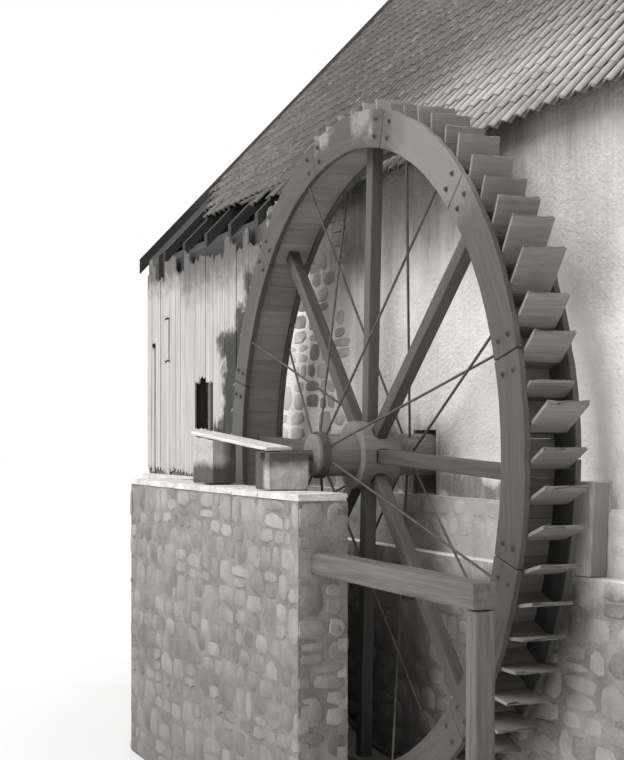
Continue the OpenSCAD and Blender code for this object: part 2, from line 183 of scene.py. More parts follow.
def finish(name, roughness=0.9):
    """Starts a material, and gives its tree, its shader and the object's own coordinates."""
    made = bpy.data.materials.new(name)
    made.use_nodes = True
    tree = made.node_tree
    shader = tree.nodes["Principled BSDF"]
    shader.inputs["Roughness"].default_value = roughness
    return made, tree, shader, put(tree, "TexCoord").outputs["Object"]


def paint(tree, shader, colour, height, depth):
    """Gives a material its colour and its fine relief."""
    tree.links.new(colour, shader.inputs["Base Color"])
    bump = put(tree, "Bump", {"Height": height, "Distance": depth})
    tree.links.new(bump.outputs[0], shader.inputs["Normal"])


def use(tree, group, **sockets):
    """Places a shader node group in a material, and gives its only output."""
    return put(tree, "Group", sockets, node_tree=group).outputs[0]


def blend(tree, factor, low, high):
    """Mixes two colours."""
    return put(tree, "Mix", {0: factor, 6: low, 7: high}, data_type="RGBA").outputs[2]


def grey(value, warmth=0.04):
    """A near neutral colour, a little warm."""
    return (value * (1 + warmth), value, value * (1 - warmth), 1)


def own_spot(tree):
    """The coordinates that a piece, or each copy in it, carries for its own grain."""
    return put(tree, "Attribute", attribute_name="own").outputs["Vector"]


def own_tone(tree):
    """The tone, from 0 to 1, that each laid copy has to itself."""
    return put(tree, "Attribute", attribute_name="tone").outputs["Fac"]


def varied(tree, face, share):
    """Mixes each copy's own tone into the unevenness of its face."""
    return put(tree, "Mix", {0: share, 2: face, 3: own_tone(tree)}).outputs[0]


def facing(tree, axis):
    """How far a face looks along an axis, by the axis's number."""
    return put(tree, "SeparateXYZ", {0: put(tree, "NewGeometry").outputs["Normal"]}).outputs[axis]


def stained_and_shaded(tree, spot, colour, stains, wander, scale, broken=None, warmth=0.04):
    """Lays stains, and painted shade or light, over a colour: rows of low corner, high corner, soft edge,
    strength and tone.
    """
    for low, high, soft, strength, tone in stains:
        mark = use(tree, patch, Vector=spot, From=low, To=high, Soft=soft, Wander=wander, Scale=scale)
        if broken is not None:
            mark = times(tree, mark, broken)
        colour = blend(tree, times(tree, mark, strength), colour, grey(tone, warmth))
    return colour


OLD_LIME_WASH = (
    ((-9.4, -0.9, 2.3), (9, 12, 3.5), 0.5, 0.75, 0.80),
    ((2.0, -0.9, 2.3), (9, 2, 3.5), 0.35, 0.95, 0.80),
)
DAMP = (
    ((-3.7, -0.9, -1.0), (0.75, 2, 3.25), 0.45, 0.62, 0.085),
    ((-9.4, -3, -1.0), (9, 12, 0.5), 0.7, 0.50, 0.085),
    ((-9.4, -3, -1.0), (9, -0.9, 2.5), 1.2, 0.70, 0.085),
)


def marked(tree, spot, colour):
    """Lays old lime wash, and then the damp, over the colour of a masonry wall."""
    cloudy = use(tree, mottle, Vector=spot, Broad=1.6, Fine=9.0)
    patchy = combine(tree, "MULTIPLY_ADD", cloudy, 0.6, 0.4, clamp=False)
    colour = stained_and_shaded(tree, spot, colour, OLD_LIME_WASH, 0.25, 1.7, broken=patchy, warmth=0.02)
    return stained_and_shaded(tree, spot, colour, DAMP, 0.2, 2.0)


stone_finish, tree, shader, spot = finish("rubble")
face = use(tree, mottle, Vector=own_spot(tree), Broad=5.0, Fine=55.0)
stone = blend(tree, varied(tree, face, 0.5), grey(0.10), grey(0.44))
paint(tree, shader, marked(tree, spot, stone), face, 0.012)

# The mortar is dark with damp and age, and where it faces up, as on the ledge, it is painted pale as light
# from above
mortar_finish, tree, shader, spot = finish("lime_mortar")
face = use(tree, mottle, Vector=spot, Broad=3.0, Fine=40.0)
mortar = marked(tree, spot, blend(tree, face, grey(0.10), grey(0.34)))
mortar = blend(tree, times(tree, facing(tree, 2), 0.95), mortar, grey(0.84, 0.02))
paint(tree, shader, mortar, face, 0.01)


def coat(material, *names):
    """Gives a finish to solids that stay as they are."""
    for name in names:
        nodes[name].data.materials.clear()
        nodes[name].data.materials.append(material)


def take_hold(piece):
    """Selects one piece and nothing else."""
    bpy.ops.object.select_all(action="DESELECT")
    piece.select_set(True)
    bpy.context.view_layer.objects.active = piece


def begin(name, add, **settings):
    """Adds a primitive, with nothing else selected."""
    bpy.ops.object.select_all(action="DESELECT")
    add(**settings)
    made = bpy.context.object
    made.name = name
    return made


def shape(piece, kind, **settings):
    """Applies one modifier to a piece."""
    take_hold(piece)
    modifier = piece.modifiers.new(kind.lower(), kind)
    for key, value in settings.items():
        setattr(modifier, key, value)
    bpy.ops.object.modifier_apply(modifier=modifier.name)


def block(name, size=(1, 1, 1), cuts=0, edge=0.0):
    """A cut block about the origin, with its edges broken by the given width."""
    made = begin(name, bpy.ops.mesh.primitive_cube_add, size=1)
    bpy.ops.object.mode_set(mode="EDIT")
    bpy.ops.transform.resize(value=size)
    if cuts:
        bpy.ops.mesh.subdivide(number_cuts=cuts)
    bpy.ops.object.mode_set(mode="OBJECT")
    if edge:
        shape(made, "BEVEL", width=edge, segments=1, limit_method="ANGLE")
    return made


def sized(middle, size, lean=Matrix()):
    """The place of a unit block that is cut to a size, leaned and set about a middle."""
    return Matrix.Translation(middle) @ lean @ Matrix.Diagonal((*size, 1))


def keep_spots(mesh, spots):
    """Stores the coordinates that a piece's own grain is drawn in."""
    mesh.attributes.new("own", "FLOAT_VECTOR", "POINT").data.foreach_set("vector", np.array(spots).ravel())


def set_in(made, material, smooth, body, replaces):
    """Finishes a piece, hangs it on the body it moves with, and hides the parts that it stands in for."""
    made.data.materials.clear()
    made.data.materials.append(material)
    take_hold(made)
    bpy.ops.object.shade_smooth_by_angle(angle=math.radians(smooth))
    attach(made, body)
    if replaces:
        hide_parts(*replaces)


OWN_SHIFT = 40


def lay(name, patterns, places, material, seed, body="house", replaces=()):
    """Copies modelled patterns to many places in one joined mesh, each with its own tone and grain."""
    rng = random.Random(seed)
    shapes = []
    for pattern in patterns:
        corners = np.array([v.co[:] for v in pattern.data.vertices])
        local = corners
        if "own" in pattern.data.attributes:
            local = np.zeros(corners.size)
            pattern.data.attributes["own"].data.foreach_get("vector", local)
            local = local.reshape(-1, 3)
        shapes.append((corners, local, [tuple(p.vertices) for p in pattern.data.polygons]))
    points, spots, tones, faces, count = [], [], [], [], 0
    for place in places:
        corners, local, polygons = shapes[rng.randrange(len(shapes))]
        place = np.array(place)
        turn = place[:3, :3]
        points.append(corners @ turn.T + place[:3, 3])
        shift = np.array([rng.uniform(-OWN_SHIFT, OWN_SHIFT) for _ in range(3)])
        spots.append(local * np.linalg.norm(turn, axis=0) + shift)
        tones.append(np.full(len(corners), rng.random()))
        faces += [tuple(v + count for v in polygon) for polygon in polygons]
        count += len(corners)
    mesh = bpy.data.meshes.new(name)
    mesh.from_pydata(np.concatenate(points).tolist(), [], faces)
    keep_spots(mesh, np.concatenate(spots))
    mesh.attributes.new("tone", "FLOAT", "POINT").data.foreach_set("value", np.concatenate(tones))
    made = bpy.data.objects.new(name, mesh)
    scene.collection.objects.link(made)
    set_in(made, material, 40, body, replaces)


# A field stone is a rough polygon in X and Z with a pillowed face towards -Y, in a box of 1 m
STONE_SIDES = 9
SQUARENESS = 0.7
STONE_TAIL = 0.78
PILLOW_EDGE, PILLOW = 0.11, 0.2
BRUISE = 0.05
field_stones = []
for variant in range(6):
    rng = random.Random(40 + variant)
    field_stone = begin(
        f"field_stone_{variant}", bpy.ops.mesh.primitive_circle_add, vertices=STONE_SIDES, radius=0.5,
        fill_type="NGON", rotation=(math.radians(90), 0, 0), location=(0, 0.5, 0),
    )
    bpy.ops.object.transform_apply(location=True, rotation=True, scale=False)
    first = rng.uniform(0, math.tau)
    for k, corner in enumerate(field_stone.data.vertices):
        angle = first + math.tau * (k + rng.uniform(-0.25, 0.25)) / STONE_SIDES
        squared = 0.5 / max(abs(math.cos(angle)), abs(math.sin(angle)))
        reach = (0.5 + SQUARENESS * (squared - 0.5)) * rng.uniform(0.90, 1.02)
        corner.co = (reach * math.cos(angle), 0.5, reach * math.sin(angle))
    bpy.ops.object.mode_set(mode="EDIT")
    bpy.ops.mesh.select_all(action="SELECT")
    bpy.ops.mesh.extrude_region_move(TRANSFORM_OT_translate={"value": (0, -STONE_TAIL, 0)})
    bpy.ops.mesh.inset(thickness=PILLOW_EDGE, depth=PILLOW)
    bpy.ops.mesh.select_all(action="SELECT")
    bpy.ops.mesh.normals_make_consistent(inside=False)
    bpy.ops.object.mode_set(mode="OBJECT")
    for corner in field_stone.data.vertices:
        corner.co.y = max(corner.co.y, -0.5)
        if corner.co.y < -0.4:
            corner.co.y += rng.uniform(0, BRUISE)
    field_stones.append(field_stone)

NEAR = Vector((1, 0, 0))
BACK = Vector((0, 1, 0))
UP = Vector((0, 0, 1))
STONE_DEPTH = 0.10
STONE_PROUD = 0.018
STONE_LEAST, STONE_MOST = 0.13, 0.34
SLIVER = 0.07
UPRIGHT_JOINT, FLAT_JOINT = 0.006, 0.004
BED_WAVER, STRAIGHT_WITHIN = 0.07, 0.4
FIRST_BED, LAST_BED, LAST_RISE = 0.012, 0.06, 0.1
SPLIT_RISE, SPLIT_SHARE = 0.2, 0.4
STONE_TILT = 0.05


def rubble_face(start, along, length, top, seed, bottom=0, holes=()):
    """Places of the stones in one face of a wall, in wavering courses, with none over the holes."""
    rng = random.Random(seed)
    out = Vector((along.y, -along.x, 0))

    def bed(u, height):
        """Height of a course at a distance along the face."""
        held = min(1, (height - bottom) / STRAIGHT_WITHIN, (top - height) / STRAIGHT_WITHIN)
        return height + BED_WAVER * held * noise.noise(Vector((u * 0.9, height * 2, seed)))

    def left_out(left, right, foot, head):
        """Whether a stone is a sliver or would lie over a hole."""
        return right - left < SLIVER or any(
            right > h[0] and left < h[1] and head > h[2] and foot < h[3] for h in holes
        )

    places, z = [], bottom + FIRST_BED
    while z < top - LAST_BED:
        rise = min(rng.uniform(STONE_LEAST, STONE_MOST), top - z)
        if top - z - rise < LAST_RISE:
            rise = top - z
        u = rng.uniform(-0.2, 0)
        while u < length:
            run = rng.uniform(STONE_LEAST, STONE_MOST) + rise * rng.uniform(0, 0.7)
            left, right = max(u, 0), min(u + run, length)
            u += run
            if left_out(left, right, z, z + rise):
                continue
            split = rng.uniform(0.35, 0.65)
            shares = ((0, 1),)
            if rise > SPLIT_RISE and rng.random() < SPLIT_SHARE:
                shares = ((0, split), (split, 1))
            for foot, head in shares:
                low, high = bed(u, z + foot * rise), bed(u, z + head * rise)
                middle = Vector(start) + along * ((left + right) / 2) + UP * ((low + high) / 2)
                middle -= out * (STONE_DEPTH / 2 - STONE_PROUD * rng.uniform(0.45, 1))
                width, height = right - left - UPRIGHT_JOINT, high - low - FLAT_JOINT
                turn = Matrix((along * width, -out * STONE_DEPTH, UP * height)).transposed().to_4x4()
                tilt = Matrix.Rotation(rng.uniform(-STONE_TILT, STONE_TILT), 4, out)
                places.append(Matrix.Translation(middle) @ tilt @ turn)
        z += rise
    return places


plinth_low, plinth_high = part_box("plinth_wheel_side")
far_x, near_x, front_y, plinth_top = plinth_low.x, plinth_high.x, plinth_low.y, plinth_high.z
back_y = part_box("plinth_back")[1].y
house_length, house_depth = near_x - far_x, back_y - front_y
ledge_low, ledge_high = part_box("plinth_ledge")
ledge_hole = (ledge_low.x - far_x, house_length, 0, ledge_high.z - 0.01)
lintel_low, lintel_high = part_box("door_lintel")
frame_low, frame_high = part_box("door_frame")
door_holes = [
    (near_x - frame_high.x, near_x - frame_low.x, 0, frame_high.z),
    (near_x - lintel_high.x, near_x - lintel_low.x, lintel_low.z, lintel_high.z),
]
plinth_stones = []
for seed, x, y, along, length, top, holes in (
    (1, far_x, front_y, NEAR, house_length, plinth_top, [ledge_hole]),
    (2, near_x, front_y, BACK, house_depth, plinth_top, []),
    (3, near_x, back_y, -NEAR, house_length, plinth_top, door_holes),
    (4, far_x, back_y, -BACK, house_depth, plinth_top, []),
    (5, ledge_low.x, ledge_low.y, NEAR, ledge_high.x - ledge_low.x, ledge_high.z, []),
):
    plinth_stones += rubble_face((x, y, 0), along, length, top, seed, holes=holes)
lay("plinth_stones", field_stones, plinth_stones, stone_finish, 1)
coat(
    mortar_finish,
    "plinth_wheel_side", "plinth_ledge", "plinth_back", "plinth_near", "plinth_far", "ground_floor",
)

# Walls above the plinth
# Rubble walls under a lime render, washed white many times; the render has come away behind the
# wheel, where the stones show, and it is grey with damp round the axle and along the plinth.
# The first row is painted light, a pale patch beside the wheel's right rim where its shade falls; the
# second row is painted shade, a dark band under the eave; the other rows darken the wall in patches.
WALL_STAINS_AND_PAINTED_LIGHT = (
    ((1.9, -2, 2.4), (6.0, 2, 4.6), 0.4, 0.90, 0.95),
    ((-9.5, -2, 5.0), (9, 2, 7.0), 1.0, 0.90, 0.26),
    ((-1.2, -2, 4.8), (1.9, 2, 6.9), 0.7, 0.85, 0.20),
    ((2.2, -2, 4.3), (3.2, 2, 5.5), 0.35, 0.50, 0.28),
    ((-2.9, -2, 2.9), (-0.1, 2, 6.8), 0.7, 0.55, 0.17),
    ((-4.2, -2, 4.9), (-0.9, 2, 6.9), 0.5, 0.85, 0.09),
    ((-1.2, -2, 2.9), (0.65, 2, 3.75), 0.35, 0.85, 0.08),
    ((-4.2, -2, 2.9), (2.4, 2, 3.22), 0.09, 0.80, 0.09),
    ((-8.7, -3, 5.5), (-7.5, 5, 8.5), 0.4, 1.00, 0.05),
    ((-9.6, -3, 4.9), (-7.5, 0.9, 7.6), 0.5, 0.90, 0.05),
)


def drawn_out(tree, where, scale, fine):
    """The mottle, drawn out as grain or runs by an uneven scale."""
    stretched = put(tree, "Mapping", {"Vector": where, "Scale": scale}).outputs[0]
    return use(tree, mottle, Vector=stretched, Broad=1.0, Fine=fine)


wash_finish, tree, shader, spot = finish("limewash", 0.95)
face = use(tree, mottle, Vector=spot, Broad=1.3, Fine=22.0)
wall = blend(tree, face, grey(0.66, 0.02), grey(0.86, 0.02))
runs = drawn_out(tree, spot, (5, 5, 0.6), 6.0)
wall = blend(tree, times(tree, ramp(tree, runs, 0.6, 1.0), 0.3), wall, grey(0.34))
streaked = combine(tree, "MULTIPLY_ADD", runs, 0.9, 0.5, clamp=False)
wall = stained_and_shaded(tree, spot, wall, WALL_STAINS_AND_PAINTED_LIGHT, 0.16, 2.2, broken=streaked)
# Faces that look up, as the gables' sloping tops under the tiles, are painted near black as the shade
# beneath the tiles
wall = blend(tree, ramp(tree, facing(tree, 2), 0.4, 0.6), wall, grey(0.03))
lumps = put(tree, "TexVoronoi", {"Vector": spot, "Scale": 3.6, "Smoothness": 1.0}, feature="SMOOTH_F1")
rounded = combine(tree, "SUBTRACT", 1.0, lumps.outputs["Distance"], clamp=False)
paint(tree, shader, wall, combine(tree, "ADD", face, rounded, clamp=False), 0.035)
coat(wash_finish, "wheel_wall", "back_wall", "near_gable", "far_gable", "opening_lintel")

BARE_LENGTH = 2.6
BARE_EDGE_X, EDGE_WANDER = -1.75, 0.35
RENDERED_ABOVE = 0.35
BARE_STAINS = (
    ((-4.2, -2, 2.9), (-2.6, 2, 4.9), 0.4, 0.70, 0.62),
    ((-4.2, -2, 4.9), (-0.9, 2, 6.9), 0.5, 0.85, 0.08),
)
wall_low, wall_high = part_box("wheel_wall")
bare_stones = []
for place in rubble_face((wall_low.x, 0, 0), NEAR, BARE_LENGTH, wall_high.z, 6, bottom=plinth_top + 0.02):
    x, z = place.translation.x, place.translation.z
    edge = BARE_EDGE_X + EDGE_WANDER * noise.noise(UP * (z * 1.3))
    if x < edge and noise.noise(Vector((x * 1.7, 3, z * 1.7))) < RENDERED_ABOVE:
        bare_stones.append(place)
bare_finish, tree, shader, spot = finish("bare_rubble")
face = use(tree, mottle, Vector=own_spot(tree), Broad=6.0, Fine=60.0)
bare = blend(tree, varied(tree, face, 0.5), grey(0.09), grey(0.40))
paint(tree, shader, stained_and_shaded(tree, spot, bare, BARE_STAINS, 0.2, 3.0), face, 0.012)
lay("bare_wall_stones", field_stones, bare_stones, bare_finish, 7)

# Boarded stretch of the wheel-side wall
# Upright softwood boards of random widths, nailed outside a sill, studs and rails, and bleached
# almost white; they are gapped, pieced and ragged at the top, and black with damp by the wheel.
# The first two rows are painted shade on the boards' tops under the eave; the others are the black damp on
# the boards by the wheel.
BOARD_STAINS_AND_SHADE = (
    ((-9.2, -2, 5.50), (-3.5, 2, 6.9), 0.35, 0.90, 0.09),
    ((-7.4, -2, 5.20), (-3.5, 2, 6.9), 0.45, 0.80, 0.10),
    ((-9.2, -2, 2.5), (-3.5, 2, 3.15), 0.2, 0.50, 0.16),
    ((-4.70, -2, 4.4), (-3.0, 2, 5.60), 0.12, 0.95, 0.03),
    ((-5.00, -2, 4.4), (-3.0, 2, 5.15), 0.12, 0.95, 0.03),
    ((-5.70, -2, 4.5), (-3.0, 2, 4.92), 0.12, 0.90, 0.03),
    ((-5.45, -2, 2.5), (-3.0, 2, 4.78), 0.12, 1.00, 0.03),
    ((-5.85, -2, 2.5), (-3.0, 2, 3.78), 0.12, 1.00, 0.03),
)


def sawn(name, scale, fine, low, high, depth, roughness=0.85, share=0.0, marks=None):
    """A timber finish with grain along each piece: its two tones, then its marks, then its relief."""
    made, tree, shader, spot = finish(name, roughness)
    grain = drawn_out(tree, own_spot(tree), scale, fine)
    colour = blend(tree, varied(tree, grain, share) if share else grain, low, high)
    if marks:
        colour = marks(tree, spot, colour)
    paint(tree, shader, colour, grain, depth)
    return made


def weathered_and_shaded(tree, spot, colour):
    """Greys some boards more than others, and lays the damp and the painted shade under the eave over
    them.
    """
    colour = blend(tree, times(tree, own_tone(tree), 0.35), colour, grey(0.36))
    return stained_and_shaded(tree, spot, colour, BOARD_STAINS_AND_SHADE, 0.14, 5.0)


board_finish = sawn(
    "bleached_boards", (26, 26, 0.7), 5.0, grey(0.24), grey(0.66), 0.006, marks=weathered_and_shaded
)

RAGGED = 0.05
wall_boards = []
for variant in range(4):
    rng = random.Random(60 + variant)
    wall_board = block(f"wall_board_{variant}", cuts=3)
    for corner in wall_board.data.vertices:
        if abs(corner.co.z) > 0.49:
            corner.co.z -= math.copysign(rng.uniform(0, RAGGED), corner.co.z)
        corner.co.x += rng.uniform(-0.02, 0.02)
        corner.co.y += rng.uniform(-0.05, 0.05)
    wall_boards.append(wall_board)

BOARD_T = 0.022
board_places = []


def stand_board(left, right, bottom, top, rng):
    """One upright board between two heights, a little out of true."""
    middle = ((left + right) / 2, -BOARD_T / 2 - rng.uniform(0, 0.006), (bottom + top) / 2)
    lean = Matrix.Rotation(rng.uniform(-0.004, 0.004), 4, BACK)
    board_places.append(sized(middle, (right - left, BOARD_T, top - bottom), lean))


HOLE_LEFT, HOLE_RIGHT, HOLE_FOOT, HOLE_HEAD = -6.44, -6.08, 3.64, 4.24
# Boards here are pieced from two and from three lengths, with open joints between them
PIECED_ONCE, PIECED_TWICE = -8.55, -7.9
LOST_FROM = -3.3
HIGH_BOARDS_TO = LOST_FROM - 1.1
BOARD_LEAST, BOARD_MOST = 0.17, 0.29
BOARD_GAPS = (0.004, 0.007, 0.012, 0.02)
boards_low, boards_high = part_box("boarded_wall")
rng = random.Random(11)
left = boards_low.x + 0.01
while left < boards_high.x - 0.1:
    right = min(left + rng.uniform(BOARD_LEAST, BOARD_MOST), boards_high.x)
    reach = rng.uniform(0.02, 0.28) if left < HIGH_BOARDS_TO else 0.0
    foot = boards_low.z + rng.uniform(-0.04, 0.05)
    gap = rng.choice(BOARD_GAPS)
    head = boards_high.z + reach
    lengths = [(foot, head, gap)]
    if left < PIECED_ONCE < right:
        lengths = [(4.87, head, gap), (foot, 4.84, 0.07)]
    elif left < PIECED_TWICE < right:
        lengths = [(5.2, head, gap), (4.6, 5.19, 0.06), (foot, 4.59, gap)]
    elif right > HOLE_LEFT and left < HOLE_RIGHT:
        stand_board(left, right - gap, foot, HOLE_FOOT + rng.uniform(-0.03, 0.03), rng)
        lengths = [(HOLE_HEAD + rng.uniform(-0.04, 0.04), head, gap)]
    for bottom, top, slack in lengths:
        stand_board(left, right - slack, bottom, top, rng)
    left = right
lay("wall_boards", wall_boards, board_places, board_finish, 12, replaces=["boarded_wall"])

timber_finish = sawn("grey_timber", (24, 24, 1.0), 6.0, grey(0.05), grey(0.17), 0.006)
STUD_W = 0.11
STUDS = 8
boards_size = boards_high - boards_low
boards_middle = (boards_low + boards_high) / 2
studs = []
for k in range(STUDS):
    x = boards_low.x + STUD_W / 2 + k * (boards_size.x - STUD_W) / (STUDS - 1)
    size = (STUD_W, boards_high.y - 0.002, boards_size.z)
    studs.append(sized((x, boards_high.y / 2, boards_middle.z), size))
for z in (boards_low.z + STUD_W / 2, boards_middle.z, boards_high.z - STUD_W / 2):
    lie = Matrix.Rotation(math.radians(90), 4, BACK)
    size = (STUD_W, boards_high.y - 0.01, boards_size.x)
    studs.append(sized((boards_middle.x, boards_high.y / 2, z), size, lie))
lay("wall_studs", [block("stud", cuts=1, edge=0.03)], studs, timber_finish, 13)

# Roof timbers and bargeboards
# Sawn rafters on wall plates, meeting at a ridge beam; plain boards close the ends of the tiles.
# The far lower corner has lost its tiles, and its timbers are painted near black there, partly as soaked
# wood and partly as painted shade in the open corner.
SOAKED_AND_SHADED_CORNER = [((-9.5, -3, 4.5), (-4.0, 3, 7.4), 0.5, 0.9, 0.018)]
PITCH = math.radians(46.7)
ridge_y = sum(corner.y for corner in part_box("ridge_beam")) / 2


def from_ridge(tree, spot):
    """X, the distance from the ridge's plane, and Z, which are alike on both slopes."""
    axes = put(tree, "SeparateXYZ", {0: spot}).outputs
    away = combine(tree, "SUBTRACT", axes[1], ridge_y, clamp=False)
    return axes[0], combine(tree, "ABSOLUTE", away, clamp=False), axes[2]


beam_finish, tree, shader, spot = finish("roof_timber", 0.85)
grain = drawn_out(tree, spot, (1.5, 16, 16), 5.0)
timber = blend(tree, grain, grey(0.05), grey(0.16))
paint(tree, shader, stained_and_shaded(tree, spot, timber, SOAKED_AND_SHADED_CORNER, 0.1, 3.0), grain, 0.005)

slope_finish, tree, shader, spot = finish("sloping_timber", 0.85)
folded = put(tree, "CombineXYZ", dict(enumerate(from_ridge(tree, spot)))).outputs[0]
sloped = put(tree, "Mapping", {"Vector": folded, "Rotation": (PITCH, 0, 0)}).outputs[0]
grain = drawn_out(tree, sloped, (22, 1.2, 22), 5.0)
timber = blend(tree, grain, grey(0.05), grey(0.17))
paint(tree, shader, stained_and_shaded(tree, spot, timber, SOAKED_AND_SHADED_CORNER, 0.1, 3.0), grain, 0.005)
coat(beam_finish, "wall_plates", "ridge_beam")
coat(slope_finish, "rafters_front", "rafters_back", "bargeboards_near", "bargeboards_far")

# Pantiles
# Hand made clay tiles with a rolled edge that laps the next one, hung on battens in wavy courses,
# dark with age and spotted with lichen; the lowest ones are gone at the far end, over the boards.
PAN_DEPTH, CREST_DEPTH = 0.066, 0.030
# The crests are made paler over the near part of the slope
PALER_NEAR_SLOPE = [((-2.5, -1.5, 4.0), (7.0, 2.0, 8.2), 1.7, 0.9, 0.50)]
roof_low, roof_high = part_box("roof_front")
eave_y, slab_x0, slab_x1, ridge_z = roof_low.y, roof_low.x, roof_high.x, roof_high.z

tile_finish, tree, shader, spot = finish("old_pantiles", 0.88)
face = use(tree, mottle, Vector=own_spot(tree), Broad=7.0, Fine=60.0)
clay = blend(tree, varied(tree, face, 0.45), grey(0.06, 0.08), grey(0.19, 0.06))
_, away, height = from_ridge(tree, spot)
raised = combine(tree, "MULTIPLY_ADD", away, math.tan(PITCH), height, clamp=False)
pan_z, crest_z = (ridge_z - depth / math.cos(PITCH) for depth in (PAN_DEPTH, CREST_DEPTH))
# The pans between the rolls are painted dark, partly as dirt lying in them and partly as painted shade
# between the rolls
pan_dirt_and_shade = ramp(tree, raised, pan_z, crest_z, 0.9, 0.0)
crests = combine(tree, "SUBTRACT", 1.0, pan_dirt_and_shade)
clay = blend(tree, pan_dirt_and_shade, clay, grey(0.03, 0.02))
clay = stained_and_shaded(tree, spot, clay, PALER_NEAR_SLOPE, 0.3, 1.0, broken=crests, warmth=0.03)
lichen = ramp(tree, clouds(tree, spot, 9.0, 4.0, 0.7)[0], 0.56, 0.66)
clay = blend(tree, times(tree, lichen, crests, 0.6), clay, grey(0.34, 0.02))
grown = ramp(tree, use(tree, mottle, Vector=spot, Broad=0.9, Fine=6.0), 0.5, 0.8)
clay = blend(tree, times(tree, grown, 0.5), clay, grey(0.10, 0.02))
paint(tree, shader, clay, face, 0.006)

COURSES = 25
COLUMNS = 69
TILE_T = 0.014
SIDE_LAP, HEAD_LAP = 0.035, 0.06
ROLL, ROLL_EDGE = 0.026, 0.006
SIDE_RISE, SAG = 0.013, 0.012
TILE_TILT = math.radians(-2.6)
TILE_DEPTH = 0.050
SLIPPED_SHARE = 0.02
eave_z = ridge_z - (ridge_y - eave_y) * math.tan(PITCH)
gauge = (ridge_y - eave_y) / math.cos(PITCH) / COURSES
cover = (slab_x1 - slab_x0) / COLUMNS
tile = begin("pantile", bpy.ops.mesh.primitive_grid_add, x_subdivisions=8, y_subdivisions=2, size=1)
for corner in tile.data.vertices:
    across, along = corner.co.x + 0.5, corner.co.y + 0.5
    turn = math.tau * (across * (cover + SIDE_LAP) / cover)
    roll = ROLL * math.sin(turn + 2.4) + ROLL_EDGE * math.sin(2 * turn + 1.2)
    corner.co = (
        across * (cover + SIDE_LAP) - SIDE_LAP / 2,
        along * (gauge + HEAD_LAP),
        roll + across * SIDE_RISE - 0.010 - SAG * (along - 0.5) ** 2,
    )
shape(tile, "SOLIDIFY", thickness=TILE_T, offset=-1)

LOST_NEAR, LOST_FAR, LOST_VERGE = 0.62, 0.96, 1.815
VERGE_W = 1.6


def lost_below(x):
    """Distance up the slope, from the eave, below which the tiles are gone."""
    verge_in = x - slab_x0
    if x > LOST_FROM:
        return -1.0
    if verge_in < VERGE_W:
        return LOST_VERGE + (LOST_FAR - LOST_VERGE) * verge_in / VERGE_W
    share = (x - (slab_x0 + VERGE_W)) / (LOST_FROM - slab_x0 - VERGE_W)
    return LOST_FAR + (LOST_NEAR - LOST_FAR) * share


def slope_point(x, up, out, back=False):
    """A point on a slope of the roof, a distance up from the eave and out of the tiles' face."""
    y = eave_y + up * math.cos(PITCH) - out * math.sin(PITCH)
    z = eave_z + up * math.sin(PITCH) + out * math.cos(PITCH)
    return Vector((x, 2 * ridge_y - y if back else y, z))


def tile_slope(name, back, seed, replaced):
    """Hangs one slope of pantiles, course by course from the eave."""
    rng = random.Random(seed)
    along = -NEAR if back else NEAR
    rise = Vector((0, -math.cos(PITCH) if back else math.cos(PITCH), math.sin(PITCH)))
    places = []
    for course in range(COURSES):
        for column in range(COLUMNS):
            x = slab_x1 - column * cover if back else slab_x0 + column * cover
            up = course * gauge
            slip = 0.012 * math.sin(x * 1.1 + course * 0.9) + 0.010 * math.sin(x * 3.1 + course * 2.1)
            slip += rng.uniform(-0.008, 0.008)
            if rng.random() < SLIPPED_SHARE:
                slip -= rng.uniform(0.01, 0.03)
            if not back and up + gauge / 2 < lost_below(x + cover / 2) + rng.uniform(-0.08, 0.08):
                continue
            if course == 0:
                slip = max(slip, 0.0)
            lift = -TILE_DEPTH + 0.006 * math.sin(x * 0.9 + course * 0.35)
            tilt = Matrix.Rotation(TILE_TILT + rng.uniform(-0.010, 0.010), 4, NEAR)
            skew = Matrix.Rotation(rng.uniform(-0.014, 0.014), 4, UP)
            turn = Matrix((along, rise, along.cross(rise))).transposed().to_4x4()
            turn.translation = slope_point(x, up + slip, lift, back)
            places.append(turn @ skew @ tilt)
    lay(name, [tile], places, tile_finish, seed + 1, replaces=[replaced])


tile_slope("front_pantiles", False, 21, "roof_front")
tile_slope("back_pantiles", True, 23, "roof_back")

BATTEN_W, BATTEN_T = 0.04, 0.028
BATTEN_DEPTH = 0.09
battens = []
for back in (False, True):
    tip = Matrix.Rotation(-PITCH if back else PITCH, 4, NEAR)
    for course in range(1, COURSES + 1):
        up = course * gauge - BATTEN_W / 2
        first = slab_x0
        while not back and lost_below(first) > up and first < slab_x1:
            first += 0.05
        middle = slope_point((first + slab_x1) / 2, up, -BATTEN_DEPTH + BATTEN_T / 2, back)
        battens.append(sized(middle, (slab_x1 - first, BATTEN_W, BATTEN_T), tip))
lay("battens", [block("batten", edge=0.04)], battens, timber_finish, 25)

